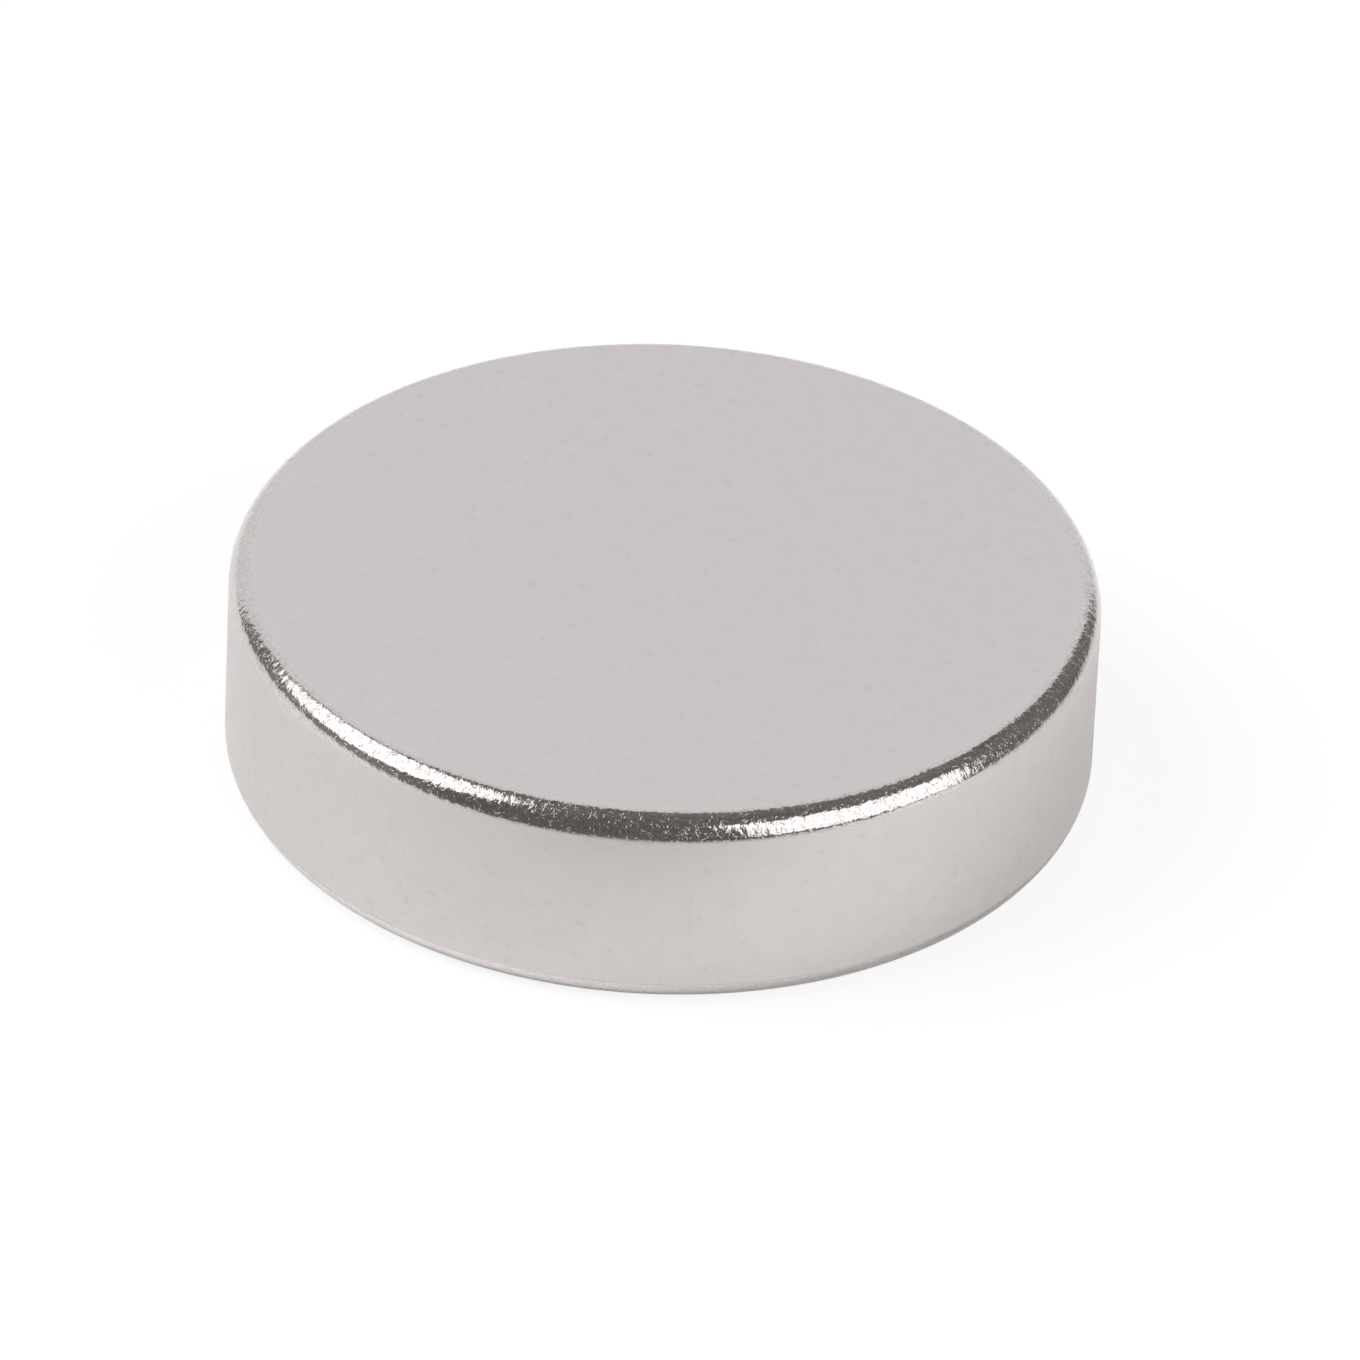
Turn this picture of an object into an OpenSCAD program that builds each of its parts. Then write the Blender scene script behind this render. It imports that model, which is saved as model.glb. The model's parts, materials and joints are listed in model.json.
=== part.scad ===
// Disc magnet: one sintered, nickel-plated disc with two flat pole faces and tumbled rims.
// Millimetres, +Z up. The origin is the centre of the lower pole face.

/* [Disc] */
// Outside diameter of the disc
magnet_d = 20; // [8:0.5:60]
// Thickness from pole face to pole face
magnet_h = 5; // [2.5:0.5:20]

/* [Rims] */
// Radius that tumbling leaves on the rim of each pole face
rim_r = 0.6; // [0.1:0.05:1.2]

/* [Hidden] */

disc_r = magnet_d / 2;
// Bright warm grey of a nickel plate
nickel_colour = [0.78, 0.76, 0.755];
$fn = 180;

// What a rim loses at a sharp corner: a square of the rim radius, less the arc that stays.
// The corner is at the origin and the arc is centred up and to the left of it.
module rim_cut() {
    difference() {
        translate([-rim_r, 0])
            square(rim_r);
        translate([-rim_r, rim_r])
            circle(rim_r);
    }
}

// Half of the disc's section, from its axis out to the wall
module half_section() {
    difference() {
        square([disc_r, magnet_h]);
        translate([disc_r, 0])
            rim_cut();
        translate([disc_r, magnet_h])
            mirror([0, 1])
                rim_cut();
    }
}

module disc_magnet() {
    color(nickel_colour)
        rotate_extrude()
            half_section();
}

disc_magnet();
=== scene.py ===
"""Disc magnet: a sintered disc with a bright nickel plate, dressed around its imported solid.

Metres, +Z up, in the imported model's own frame: the origin is the centre of the lower pole face.
"""

import json
import math

import bpy
from mathutils import Euler, Matrix, Vector, noise


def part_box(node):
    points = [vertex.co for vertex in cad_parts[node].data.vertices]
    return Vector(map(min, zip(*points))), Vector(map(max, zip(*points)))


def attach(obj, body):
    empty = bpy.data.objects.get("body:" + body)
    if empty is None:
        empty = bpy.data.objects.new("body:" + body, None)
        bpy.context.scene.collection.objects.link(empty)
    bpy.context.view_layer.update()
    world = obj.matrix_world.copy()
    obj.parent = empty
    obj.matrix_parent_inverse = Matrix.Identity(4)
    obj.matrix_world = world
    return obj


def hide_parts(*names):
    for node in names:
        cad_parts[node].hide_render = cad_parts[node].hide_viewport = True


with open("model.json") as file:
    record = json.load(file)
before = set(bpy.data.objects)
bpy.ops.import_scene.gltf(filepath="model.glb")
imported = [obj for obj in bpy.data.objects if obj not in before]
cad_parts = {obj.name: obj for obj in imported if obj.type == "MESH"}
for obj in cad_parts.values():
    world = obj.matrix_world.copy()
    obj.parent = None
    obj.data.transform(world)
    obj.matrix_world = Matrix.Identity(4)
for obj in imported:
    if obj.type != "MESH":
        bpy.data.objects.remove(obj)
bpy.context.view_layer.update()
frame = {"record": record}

MM = 0.001
MICRON = 0.000001

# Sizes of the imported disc
NODE = "disc_magnet"
box_low, box_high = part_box(NODE)
mounts = {mount["name"]: mount for mount in frame["record"]["mounts"]}
wall_dims = mounts["pocket_wall"]["dims"]
disc_r = wall_dims["r_mm"] * MM
disc_h = box_high.z - box_low.z
rim_r = (disc_h - wall_dims["length_mm"] * MM) / 2
face_r = disc_r - rim_r
disc_middle = Vector((0, 0, disc_h / 2))

# The photograph's view of the disc, in the pixels of its square frame
PHOTO_PX = 1360
DISC_PX = 870.5
DISC_AT_PX = (662.0, 663.1)
VIEW_ELEVATION = math.radians(34.36)
VIEW_ROLL = math.radians(2.61)
VIEW_DISTANCE = 18 * 2 * disc_r
SENSOR_MM = 36.0

# How finely the disc is meshed
SEGMENTS = 1536
RIM_STEPS = 14
WALL_STEPS = 8
# Rings of a pole face from its edge inwards, as shares of the flat radius.
# Each has half the points of the last.
FACE_RINGS = (0.99, 0.975, 0.945, 0.885, 0.77, 0.57, 0.3)
# Flat lip just inside the rim, which keeps the face's shading flat up to its edge
FACE_LIP = 0.03 * MM

# Unevenness that tumbling leaves on a rim: depth, and the size of its lumps
RIM_DEPTH = 2.2 * MICRON
RIM_LUMP = 0.45 * MM
RIM_SMALL_LUMP = 0.16 * MM
RIM_SMALL_SHARE = 0.35

# Flat map of the mesh: the two caps lie on one diagonal of a square, and the wall in rows in the
# other two corners
CAP_MAP_R = face_r + rim_r * math.pi / 2
MAP_GAP = 0.25 * MM
MAP_SIDE = (CAP_MAP_R + MAP_GAP) * (2 + math.sqrt(2))
WALL_ROWS = 6
WALL_LENGTH = math.tau * disc_r / WALL_ROWS
WALL_HEIGHT = disc_h - 2 * rim_r

# Nickel plate: its colour seen straight on, and its tint at a grazing angle
NICKEL = (0.525, 0.498, 0.495)
GRAZING_TINT = (0.95, 0.945, 0.94, 1.0)
# Satin flats: how rough they are, and their mirror share; the rest of their light is scattered
FLAT_ROUGHNESS = 0.25
FLAT_METAL = 0.5
# Range that holds most values of a noise, and the one over which specks go from smooth to rough
NOISE_SPREAD = (0.3, 0.7)
SPECK_SPREAD = (0.35, 0.65)
# Specks of the rims: how many there are to a millimetre, and how rough the smooth and rough ones are
SPECKS_PER_MM = 14.0
SMOOTH_SPECK = 0.05
ROUGH_SPECK = 0.13
# Tone of the plate: how far it varies on the flats, how much brighter the burnished rims are, and
# how far that varies with their specks
FLAT_TONE = 0.014
RIM_SHINE = 0.1
RIM_TONE = 0.09
# Parts of a rim, which are speckled, grainy and burnished: where each begins and where it is whole,
# past the edge of the face and past that of the wall, as shares of the rim's radius
SPECKLED = ((-0.3, 0.0), (-0.6, -0.1))
WORN = ((-0.17, 0.5), (-0.5, 0.17))
BURNISHED = ((0.05, 0.28), (0.03, 0.22))
# Grain of the rims: heights in micrometres, how many there are to a millimetre, how plain, rare and
# bent the pimples are, and how far all are drawn out from face to wall by the tumbling
LUMP_HEIGHT = 13.0
LUMPS_PER_MM = 5.0
PIMPLE_HEIGHT = 5.0
PIMPLES_PER_MM = 12.0
PIMPLE_DETAIL = 1.0
PIMPLE_RARE = (0.57, 0.79)
PIMPLE_BEND = 1.2
GRIT_HEIGHT = 1.1
GRIT_PER_MM = 24.0
GRAIN_DRAWN = 0.85
# Grain of the flats
FLAT_HEIGHT = 3.0
FLAT_PER_MM = 7.0
# Clouds of tone: how many there are to a millimetre, and how fine and how strong their detail is
CLOUDS_PER_MM = 2.0
CLOUD_DETAIL = 4.0
CLOUD_ROUGHNESS = 0.6
# Faint marks: how many there are to a millimetre, how plain and rare they are, and how much darker
MARKS_PER_MM = 5.0
MARK_DETAIL = 0.0
MARK_RARE = (0.69, 0.84)
MARK_DEPTH = 0.065

# Dark room round the disc: its tint, how far to the back a direction points where its front and back
# levels begin, how far to the left its left side begins and is whole, and the level which that adds
ROOM_TINT = (1.0, 0.95, 0.91, 1.0)
ROOM_FRONT = -0.8
ROOM_FRONT_LEVEL = 0.172
ROOM_BACK = 0.4
ROOM_BACK_LEVEL = 0.23
ROOM_LEFT = (-0.75, -1.0)
ROOM_LEFT_LEVEL = 0.12
# Clutter of the room: its patches to a unit of direction, and its darkest and lightest share of a level
CLUTTER_SCALE = 10.0
CLUTTER_SHARES = (0.7, 1.3)

# White floor: how much light it scatters, how it shines, its size, and its gap under the disc
FLOOR_WHITE = 0.96
FLOOR_GLOSS = 0.15
FLOOR_ROUGHNESS = 0.3
FLOOR_SIZE = 4.0
FLOOR_DROP = 0.02 * MM
# Share of the floor's light that is its own for the camera, which leaves a faint shadow
FLOOR_GLOW = 0.85
# To reflections the white sheet ends in front of the disc and to its right, and the dark room follows
SHEET_FRONT = -19.9 * MM
SHEET_FRONT_BLUR = 7 * MM
SHEET_RIGHT = 38 * MM
SHEET_RIGHT_BLUR = 22 * MM

# White backdrop behind the disc, which the upper face mirrors: its sides and top at a distance of 1,
# how far the left side and the top lean, and the blur of its edges
BACKDROP_LEFT = -1.13
LEFT_LEAN = 0.18
BACKDROP_RIGHT = 0.69
BACKDROP_TOP = 2.3
TOP_LEAN = 0.35
BACKDROP_BLUR = 0.04
# Where the upper face mirrors the backdrop, and how it dims away from there
BACKDROP_MIDDLE = (0.0, 0.68, 0.0)
BACKDROP_FADE = (0.25, 0.75)
BACKDROP_SIDE = 0.95

# Softboxes: how far off their lamps and lit faces are, and how bright the faces are, where 1 is white
SOFTBOX_DISTANCE = 0.4
FACE_DISTANCE = 0.39
FACE_LEVEL = 1.7
# How bright each softbox's lamp is, and where and how large the disc sees it, in degrees
LEFT_LIGHT = 4.7
LEFT_SOFTBOX = {
    "shape": "ELLIPSE",
    "azimuth": -89.6,
    "elevation": 45.5,
    "width": 56.0,
    "height": 53.0,
    "turn": (0.0, 0.0, 0.0),
}
RIGHT_LIGHT = 3.2
RIGHT_SOFTBOX = {
    "shape": "RECTANGLE",
    "azimuth": 124.0,
    "elevation": 21.5,
    "width": 58.0,
    "height": 55.0,
    "turn": (0.0, -12.0, -5.0),
}


# Node helpers


def add_node(tree, kind, inputs=None, **settings):
    """A new node with these settings; an input is linked if it is given a socket, and else set."""
    made = tree.nodes.new(kind)
    for name, value in settings.items():
        setattr(made, name, value)
    for key, value in (inputs or {}).items():
        if isinstance(value, bpy.types.NodeSocket):
            tree.links.new(value, made.inputs[key])
        else:
            made.inputs[key].default_value = value
    return made


def maths(tree, operation, *values):
    made = add_node(tree, "ShaderNodeMath", dict(enumerate(values)), operation=operation)
    return made.outputs["Value"]


def ramp(tree, value, low, high, to_low=0.0, to_high=1.0):
    """value mapped smoothly from low..high to to_low..to_high, and held there outside that range."""
    inputs = {"Value": value, "From Min": low, "From Max": high, "To Min": to_low, "To Max": to_high}
    made = add_node(tree, "ShaderNodeMapRange", inputs, interpolation_type="SMOOTHSTEP")
    return made.outputs["Result"]


def blend(tree, mask, outside, inside):
    """One number where the mask is 0, and the other where it is 1."""
    made = add_node(tree, "ShaderNodeMix", {"Factor": mask, "A": outside, "B": inside})
    return made.outputs["Result"]


def scaled(tree, vector, factor):
    made = add_node(tree, "ShaderNodeVectorMath", {0: vector, "Scale": factor}, operation="SCALE")
    return made.outputs["Vector"]


def split_axes(tree, vector):
    return add_node(tree, "ShaderNodeSeparateXYZ", {"Vector": vector}).outputs


def grain(tree, place, per_unit, detail=2.0, roughness=0.5, bend=0.0):
    """Noise from 0 to 1, with about this many patches to a unit of place."""
    inputs = {
        "Vector": place,
        "Scale": per_unit,
        "Detail": detail,
        "Roughness": roughness,
        "Distortion": bend,
    }
    return add_node(tree, "ShaderNodeTexNoise", inputs).outputs["Fac"]


# The disc's mesh


class DiscMesh:
    """Points, faces, and each face corner's place on the flat map in metres."""

    def __init__(self):
        self.points = []
        self.faces = []
        self.places = []

    def add_point(self, point):
        self.points.append(point)
        return len(self.points) - 1

    def add_face(self, corners, places, flip):
        if flip:
            corners = corners[::-1]
            places = places[::-1]
        self.faces.append(corners)
        self.places.extend(places)

    def add_picked(self, picks, flip):
        """A face whose corners are picked by number from rings of points and their places."""
        corners = [points[i] for (points, places), i in picks]
        spots = [places[i] for (points, places), i in picks]
        self.add_face(corners, spots, flip)


def turn_point(angle, radius, height):
    return Vector((radius * math.cos(angle), radius * math.sin(angle), height))


def pole_height(side):
    return disc_h if side > 0 else 0.0


def rim_dent(point):
    """How deep the tumbled rim lies under its true arc at a point, from 0 to 1."""
    large = noise.noise(point / RIM_LUMP)
    small = noise.noise(point / RIM_SMALL_LUMP)
    return 0.5 + 0.5 * (large + RIM_SMALL_SHARE * small) / (1 + RIM_SMALL_SHARE)


def rim_point(angle, tilt, side):
    """A point of the upper (side 1) or lower (side -1) rim, where its normal leans out by tilt."""
    height = disc_h / 2 - rim_r + rim_r * math.cos(tilt)
    point = turn_point(angle, face_r + rim_r * math.sin(tilt), disc_h / 2 + side * height)
    normal = turn_point(angle, math.sin(tilt), side * math.cos(tilt))
    fade = math.sin(2 * tilt)
    return point - normal * (RIM_DEPTH * fade * rim_dent(point))


def cap_rings(side):
    """Rings of one pole from its wall to near its axis: the points of each, and its flat map radius."""
    rings = []
    angles = [math.tau * i / SEGMENTS for i in range(SEGMENTS)]
    for step in range(RIM_STEPS + 1):
        tilt = math.pi / 2 * (1 - step / RIM_STEPS)
        points = [rim_point(angle, tilt, side) for angle in angles]
        rings.append((points, face_r + rim_r * tilt))
    height = pole_height(side)
    lip_r = face_r - FACE_LIP
    rings.append(([turn_point(angle, lip_r, height) for angle in angles], lip_r))
    count = SEGMENTS
    for share in FACE_RINGS:
        count //= 2
        points = [turn_point(math.tau * i / count, face_r * share, height) for i in range(count)]
        rings.append((points, face_r * share))
    return rings


def place_ring(mesh, centre, points, radius):
    """Adds a ring's points to the mesh; returns their numbers, and their places on the flat map."""
    spots = []
    for i in range(len(points)):
        angle = math.tau * i / len(points)
        spots.append(centre + Vector((radius * math.cos(angle), radius * math.sin(angle))))
    return [mesh.add_point(point) for point in points], spots


def join_equal(mesh, outer, inner, flip):
    """Quads between two rings with as many points."""
    count = len(outer[0])
    for i in range(count):
        j = (i + 1) % count
        mesh.add_picked(((outer, i), (outer, j), (inner, j), (inner, i)), flip)


def join_halved(mesh, outer, inner, flip):
    """Triangles between a ring and one inside it with half as many points."""
    count = len(inner[0])
    for i in range(count):
        j = (i + 1) % count
        first, middle, last = 2 * i, 2 * i + 1, 2 * j
        mesh.add_picked(((outer, first), (outer, middle), (inner, i)), flip)
        mesh.add_picked(((outer, middle), (inner, j), (inner, i)), flip)
        mesh.add_picked(((outer, middle), (outer, last), (inner, j)), flip)


def build_cap(mesh, side, centre):
    """Meshes one pole face and its rim round a centre on the flat map; returns the ring at the wall."""
    flip = side < 0
    rings = [place_ring(mesh, centre, points, radius) for points, radius in cap_rings(side)]
    for outer, inner in zip(rings, rings[1:]):
        join = join_equal if len(outer[0]) == len(inner[0]) else join_halved
        join(mesh, outer, inner, flip)
    axis_id = mesh.add_point(Vector((0, 0, pole_height(side))))
    ids, spots = rings[-1]
    for i in range(len(ids)):
        j = (i + 1) % len(ids)
        mesh.add_face([ids[i], ids[j], axis_id], [spots[i], spots[j], centre], flip)
    wall_ring = rings[0][0]
    return wall_ring


def wall_row_corner(row):
    """Lower left corner of a row of the wall on the flat map."""
    in_corner = row % (WALL_ROWS // 2)
    lift = MAP_GAP + in_corner * (WALL_HEIGHT + MAP_GAP)
    if row < WALL_ROWS // 2:
        return Vector((MAP_GAP, MAP_SIDE - lift - WALL_HEIGHT))
    return Vector((MAP_SIDE - MAP_GAP - WALL_LENGTH, lift))


def wall_spots(i, step):
    """Places on the flat map of the four corners of one quad of the wall."""
    per_row = SEGMENTS // WALL_ROWS
    corner = wall_row_corner(i // per_row)
    left = WALL_LENGTH * (i % per_row) / per_row
    right = WALL_LENGTH * (i % per_row + 1) / per_row
    bottom = WALL_HEIGHT * step / WALL_STEPS
    top = WALL_HEIGHT * (step + 1) / WALL_STEPS
    spots = [(left, bottom), (right, bottom), (right, top), (left, top)]
    return [corner + Vector(spot) for spot in spots]


def build_wall(mesh, lower_ring, upper_ring):
    """Quads of the wall, from the lower cap's ring to the upper cap's."""
    rings = [lower_ring]
    for step in range(1, WALL_STEPS):
        height = rim_r + WALL_HEIGHT * step / WALL_STEPS
        points = [turn_point(math.tau * i / SEGMENTS, disc_r, height) for i in range(SEGMENTS)]
        rings.append([mesh.add_point(point) for point in points])
    rings.append(upper_ring)
    for step in range(WALL_STEPS):
        below, above = rings[step], rings[step + 1]
        for i in range(SEGMENTS):
            j = (i + 1) % SEGMENTS
            mesh.add_face([below[i], below[j], above[j], above[i]], wall_spots(i, step), False)


def disc_object(material):
    """The whole disc as one closed mesh, with a flat map that gives every part the same scale."""
    mesh = DiscMesh()
    near = CAP_MAP_R + MAP_GAP
    far = MAP_SIDE - near
    upper_ring = build_cap(mesh, 1, Vector((near, near)))
    lower_ring = build_cap(mesh, -1, Vector((far, far)))
    build_wall(mesh, lower_ring, upper_ring)
    data = bpy.data.meshes.new("magnet")
    data.from_pydata(mesh.points, [], mesh.faces)
    layer = data.uv_layers.new(name="OFBake")
    layer.uv.foreach_set("vector", [x / MAP_SIDE for spot in mesh.places for x in spot])
    data.shade_smooth()
    data.materials.append(material)
    made = bpy.data.objects.new("magnet", data)
    bpy.context.scene.collection.objects.link(made)
    return made


# Materials


def rim_mask(tree, past_edges, part):
    """Mask of a part of the rims, from how far a place is past the face's edge and past the wall's."""
    sides = []
    for past, shares in zip(past_edges, part):
        sides.append(ramp(tree, past, *[share * rim_r / MM for share in shares]))
    return maths(tree, "MULTIPLY", *sides)


def drawn_place(tree, axes, from_axis, side, tilt):
    """A place on a rim, drawn out along the rim's arc; the two rims are kept apart by their side."""
    out = maths(tree, "DIVIDE", disc_r / MM, from_axis)
    along = maths(tree, "MULTIPLY", tilt, GRAIN_DRAWN * rim_r / MM)
    spot = {
        "X": maths(tree, "MULTIPLY", axes["X"], out),
        "Y": maths(tree, "MULTIPLY", axes["Y"], out),
        "Z": maths(tree, "MULTIPLY_ADD", side, disc_h / MM, along),
    }
    return add_node(tree, "ShaderNodeCombineXYZ", spot).outputs["Vector"]


def rim_coords(tree, place):
    """Of a place in millimetres: masks of the rims' parts by name, and the place drawn out."""
    axes = split_axes(tree, place)
    squares = maths(tree, "MULTIPLY_ADD", axes["X"], axes["X"], maths(tree, "POWER", axes["Y"], 2.0))
    from_axis = maths(tree, "SQRT", squares)
    above_middle = maths(tree, "SUBTRACT", axes["Z"], disc_h / 2 / MM)
    from_middle = maths(tree, "ABSOLUTE", above_middle)
    past_face = maths(tree, "SUBTRACT", from_axis, face_r / MM)
    past_wall = maths(tree, "SUBTRACT", from_middle, (disc_h / 2 - rim_r) / MM)
    parts = {"speckled": SPECKLED, "worn": WORN, "burnished": BURNISHED}
    masks = {name: rim_mask(tree, (past_face, past_wall), part) for name, part in parts.items()}
    side = maths(tree, "SIGN", above_middle)
    tilt = maths(tree, "ARCTAN2", past_face, past_wall)
    return masks, drawn_place(tree, axes, from_axis, side, tilt)


def plate_height(tree, place, drawn, worn):
    """Height of the plate's grain in micrometres: lumps, scattered pimples and grit on the rims."""
    lumps = grain(tree, drawn, LUMPS_PER_MM)
    bumps = grain(tree, drawn, PIMPLES_PER_MM, PIMPLE_DETAIL, bend=PIMPLE_BEND)
    pimples = ramp(tree, bumps, *PIMPLE_RARE)
    grit = grain(tree, drawn, GRIT_PER_MM)
    height = maths(tree, "MULTIPLY_ADD", lumps, LUMP_HEIGHT, -(LUMP_HEIGHT + GRIT_HEIGHT) / 2)
    height = maths(tree, "MULTIPLY_ADD", pimples, PIMPLE_HEIGHT, height)
    height = maths(tree, "MULTIPLY_ADD", grit, GRIT_HEIGHT, height)
    flat = maths(tree, "MULTIPLY", grain(tree, place, FLAT_PER_MM), FLAT_HEIGHT)
    return maths(tree, "MULTIPLY_ADD", height, worn, flat)


def plate_tone(tree, place, specks, burnished):
    """Brightness of the plate round 1: clouds and faint marks all over, and specks on the rims."""
    spots = grain(tree, place, MARKS_PER_MM, MARK_DETAIL)
    marks = ramp(tree, spots, *MARK_RARE, 1.0, 1.0 - MARK_DEPTH)
    patches = grain(tree, place, CLOUDS_PER_MM, CLOUD_DETAIL, CLOUD_ROUGHNESS)
    clouds = ramp(tree, patches, *NOISE_SPREAD, -FLAT_TONE, FLAT_TONE)
    speckle = ramp(tree, specks, *NOISE_SPREAD, RIM_SHINE - RIM_TONE, RIM_SHINE + RIM_TONE)
    return maths(tree, "MULTIPLY_ADD", speckle, burnished, maths(tree, "ADD", marks, clouds))


def finish_plate(tree, shader, masks, specks):
    """Sets the satin of the flats, and the bright metal of the rims with its smooth and rough specks."""
    speck_rough = ramp(tree, specks, *SPECK_SPREAD, SMOOTH_SPECK, ROUGH_SPECK)
    rough = blend(tree, masks["speckled"], FLAT_ROUGHNESS, speck_rough)
    tree.links.new(rough, shader.inputs["Roughness"])
    metal = blend(tree, masks["burnished"], FLAT_METAL, 1.0)
    tree.links.new(metal, shader.inputs["Metallic"])
    shader.inputs["Specular IOR Level"].default_value = 0.0
    shader.inputs["Specular Tint"].default_value = GRAZING_TINT


def nickel_material():
    """Nickel plate over a tumbled sintered disc: nearly even on the flats, and grainy on the rims."""
    material = bpy.data.materials.new("nickel_plate")
    material.use_nodes = True
    tree = material.node_tree
    shader = tree.nodes["Principled BSDF"]
    coords = add_node(tree, "ShaderNodeTexCoord").outputs["Object"]
    place = scaled(tree, coords, 1 / MM)
    masks, drawn = rim_coords(tree, place)
    specks = grain(tree, place, SPECKS_PER_MM)
    height = plate_height(tree, place, drawn, masks["worn"])
    bump = add_node(tree, "ShaderNodeBump", {"Height": height, "Distance": MICRON, "Strength": 1.0})
    tree.links.new(bump.outputs["Normal"], shader.inputs["Normal"])
    tone = plate_tone(tree, place, specks, masks["burnished"])
    tree.links.new(scaled(tree, NICKEL, tone), shader.inputs["Base Color"])
    finish_plate(tree, shader, masks, specks)
    return material


def on_sheet(tree):
    """How much of the white sheet reflections see at each place of the floor."""
    coords = add_node(tree, "ShaderNodeTexCoord").outputs["Object"]
    axes = split_axes(tree, coords)
    front_fade = (SHEET_FRONT - SHEET_FRONT_BLUR, SHEET_FRONT + SHEET_FRONT_BLUR)
    right_fade = (SHEET_RIGHT - SHEET_RIGHT_BLUR, SHEET_RIGHT + SHEET_RIGHT_BLUR)
    behind_front = ramp(tree, axes["Y"], *front_fade)
    left_of_right = ramp(tree, axes["X"], *right_fade, 1.0, 0.0)
    return maths(tree, "MULTIPLY", behind_front, left_of_right)


def floor_material():
    """White floor with a faint shadow of the disc; only the camera sees it beyond the sheet's edges."""
    material = bpy.data.materials.new("floor_white")
    material.use_nodes = True
    tree = material.node_tree
    paint = tree.nodes["Principled BSDF"]
    to_camera = add_node(tree, "ShaderNodeLightPath").outputs["Is Camera Ray"]
    tree.links.new(maths(tree, "MAXIMUM", on_sheet(tree), to_camera), paint.inputs["Alpha"])
    paint.inputs["Base Color"].default_value = (FLOOR_WHITE, FLOOR_WHITE, FLOOR_WHITE, 1.0)
    paint.inputs["Specular IOR Level"].default_value = FLOOR_GLOSS
    paint.inputs["Roughness"].default_value = FLOOR_ROUGHNESS
    glow = add_node(tree, "ShaderNodeEmission", {"Strength": 1.0})
    share = maths(tree, "MULTIPLY", to_camera, FLOOR_GLOW)
    sides = {"Fac": share, 1: paint.outputs["BSDF"], 2: glow.outputs["Emission"]}
    mix = add_node(tree, "ShaderNodeMixShader", sides)
    tree.links.new(mix.outputs["Shader"], tree.nodes["Material Output"].inputs["Surface"])
    return material


# Stage


def build_floor():
    half = FLOOR_SIZE / 2
    corners = [(-half, -half), (half, -half), (half, half), (-half, half)]
    data = bpy.data.meshes.new("floor")
    data.from_pydata([(x, y, -FLOOR_DROP) for x, y in corners], [], [(0, 1, 2, 3)])
    data.materials.append(floor_material())
    made = bpy.data.objects.new("floor", data)
    bpy.context.scene.collection.objects.link(made)


def direction(azimuth, elevation):
    """Unit vector; azimuth 0 points away from the camera and 90 degrees to its right."""
    flat = math.cos(elevation)
    return Vector((math.sin(azimuth) * flat, math.cos(azimuth) * flat, math.sin(elevation)))


def add_lamp(name, level, distance, shape, azimuth, elevation, width, height, turn):
    """A soft light this bright, which the disc sees at this place, size and turn in degrees."""
    towards = direction(math.radians(azimuth), math.radians(elevation))
    turned = Euler([math.radians(angle) for angle in turn])
    lamp = bpy.data.lights.new(name, "AREA")
    lamp.shape = shape
    lamp.size = 2 * distance * math.tan(math.radians(width / 2))
    lamp.size_y = 2 * distance * math.tan(math.radians(height / 2))
    fill = math.pi / 4 if shape == "ELLIPSE" else 1.0
    lamp.energy = level * math.pi * fill * lamp.size * lamp.size_y
    made = bpy.data.objects.new(name, lamp)
    made.location = disc_middle + towards * distance
    made.rotation_mode = "QUATERNION"
    made.rotation_quaternion = towards.to_track_quat("Z", "Y") @ turned.to_quaternion()
    made.visible_camera = False
    bpy.context.scene.collection.objects.link(made)
    return made


def add_softbox(name, light, look):
    """A lamp that lights the floor, and just in front of it the lit face that the plate mirrors."""
    add_lamp(name + "_light", light, SOFTBOX_DISTANCE, **look).visible_glossy = False
    add_lamp(name + "_face", FACE_LEVEL, FACE_DISTANCE, **look).visible_diffuse = False


def on_backdrop(tree, axes):
    """How much of the white backdrop each direction shows: all in its middle, and less at its sides."""
    behind = maths(tree, "GREATER_THAN", axes["Y"], 0.0)
    across = maths(tree, "DIVIDE", axes["X"], axes["Y"])
    up = maths(tree, "DIVIDE", axes["Z"], axes["Y"])
    from_left = maths(tree, "MULTIPLY_ADD", up, -LEFT_LEAN, across)
    inside_left = ramp(tree, from_left, BACKDROP_LEFT - BACKDROP_BLUR, BACKDROP_LEFT + BACKDROP_BLUR)
    inside_right = ramp(tree, across, BACKDROP_RIGHT + BACKDROP_BLUR, BACKDROP_RIGHT - BACKDROP_BLUR)
    from_top = maths(tree, "MULTIPLY_ADD", across, -TOP_LEAN, up)
    below_top = ramp(tree, from_top, BACKDROP_TOP + BACKDROP_BLUR, BACKDROP_TOP - BACKDROP_BLUR)
    spot = add_node(tree, "ShaderNodeCombineXYZ", {"X": across, "Y": up}).outputs["Vector"]
    ends = {0: spot, 1: BACKDROP_MIDDLE}
    off_middle = add_node(tree, "ShaderNodeVectorMath", ends, operation="DISTANCE").outputs["Value"]
    share = ramp(tree, off_middle, *BACKDROP_FADE, 1.0, BACKDROP_SIDE)
    for mask in (inside_left, inside_right, below_top, behind):
        share = maths(tree, "MULTIPLY", share, mask)
    return share


def room_level(tree, towards, axes):
    """How bright the dark room is in each direction."""
    level = ramp(tree, axes["Y"], ROOM_FRONT, ROOM_BACK, ROOM_FRONT_LEVEL, ROOM_BACK_LEVEL)
    level = maths(tree, "ADD", level, ramp(tree, axes["X"], *ROOM_LEFT, 0.0, ROOM_LEFT_LEVEL))
    clutter = ramp(tree, grain(tree, towards, CLUTTER_SCALE), *NOISE_SPREAD, *CLUTTER_SHARES)
    return maths(tree, "MULTIPLY", level, clutter)


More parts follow.
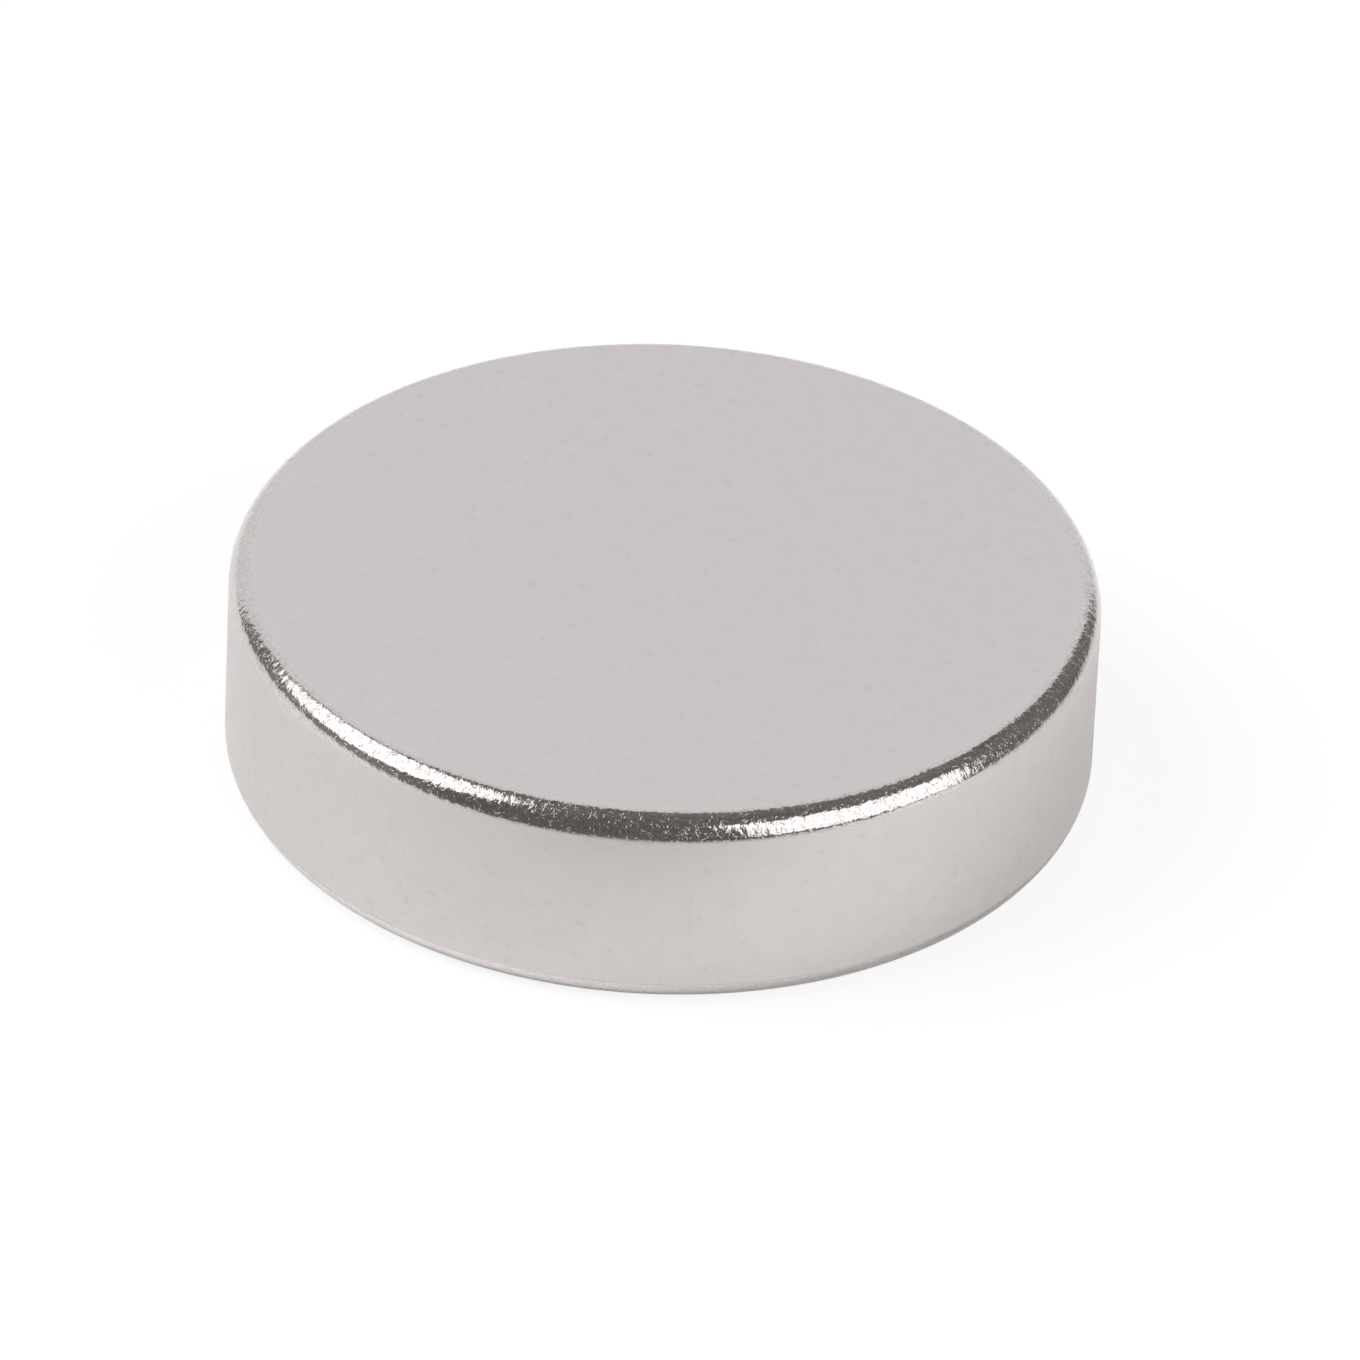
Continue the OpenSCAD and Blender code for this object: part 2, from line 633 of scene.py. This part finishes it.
def studio_world():
    """White to the camera; the plate mirrors that white behind the disc, and else a dark room."""
    world = bpy.data.worlds.new("studio")
    world.use_nodes = True
    bpy.context.scene.world = world
    tree = world.node_tree
    room = tree.nodes["Background"]
    room.inputs["Color"].default_value = ROOM_TINT
    towards = add_node(tree, "ShaderNodeTexCoord").outputs["Generated"]
    axes = split_axes(tree, towards)
    tree.links.new(room_level(tree, towards, axes), room.inputs["Strength"])
    white = add_node(tree, "ShaderNodeBackground", {"Color": (1.0, 1.0, 1.0, 1.0), "Strength": 1.0})
    path = add_node(tree, "ShaderNodeLightPath").outputs
    mirrored = maths(tree, "MAXIMUM", path["Is Glossy Ray"], path["Is Transmission Ray"])
    mirrored = maths(tree, "MULTIPLY", mirrored, on_backdrop(tree, axes))
    shown = maths(tree, "MAXIMUM", path["Is Camera Ray"], mirrored)
    sides = {"Fac": shown, 1: room.outputs["Background"], 2: white.outputs["Background"]}
    mix = add_node(tree, "ShaderNodeMixShader", sides)
    tree.links.new(mix.outputs["Shader"], tree.nodes["World Output"].inputs["Surface"])


def photo_camera():
    """A camera where the photograph's was, with the disc at the same place in the frame."""
    data = bpy.data.cameras.new("photo_camera")
    data.sensor_width = SENSOR_MM
    pixel = 2 * disc_r / DISC_PX
    data.lens = SENSOR_MM * VIEW_DISTANCE / (PHOTO_PX * pixel)
    data.clip_start = MM
    level_right = Vector((1, 0, 0))
    back = Vector((0, -math.cos(VIEW_ELEVATION), math.sin(VIEW_ELEVATION)))
    level_up = back.cross(level_right)
    right = level_right * math.cos(VIEW_ROLL) + level_up * math.sin(VIEW_ROLL)
    up = level_up * math.cos(VIEW_ROLL) - level_right * math.sin(VIEW_ROLL)
    aside = right * (PHOTO_PX / 2 - DISC_AT_PX[0]) * pixel
    below = up * (DISC_AT_PX[1] - PHOTO_PX / 2) * pixel
    place = disc_middle + back * VIEW_DISTANCE + aside + below
    made = bpy.data.objects.new("photo_camera", data)
    made.matrix_world = Matrix.Translation(place) @ Matrix((right, up, back)).transposed().to_4x4()
    bpy.context.scene.collection.objects.link(made)
    bpy.context.scene.camera = made


photo_camera()
build_floor()
studio_world()
add_softbox("left_softbox", LEFT_LIGHT, LEFT_SOFTBOX)
add_softbox("right_softbox", RIGHT_LIGHT, RIGHT_SOFTBOX)
bpy.context.scene.view_settings.view_transform = "Standard"

magnet = disc_object(nickel_material())
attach(magnet, "root")
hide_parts(NODE)
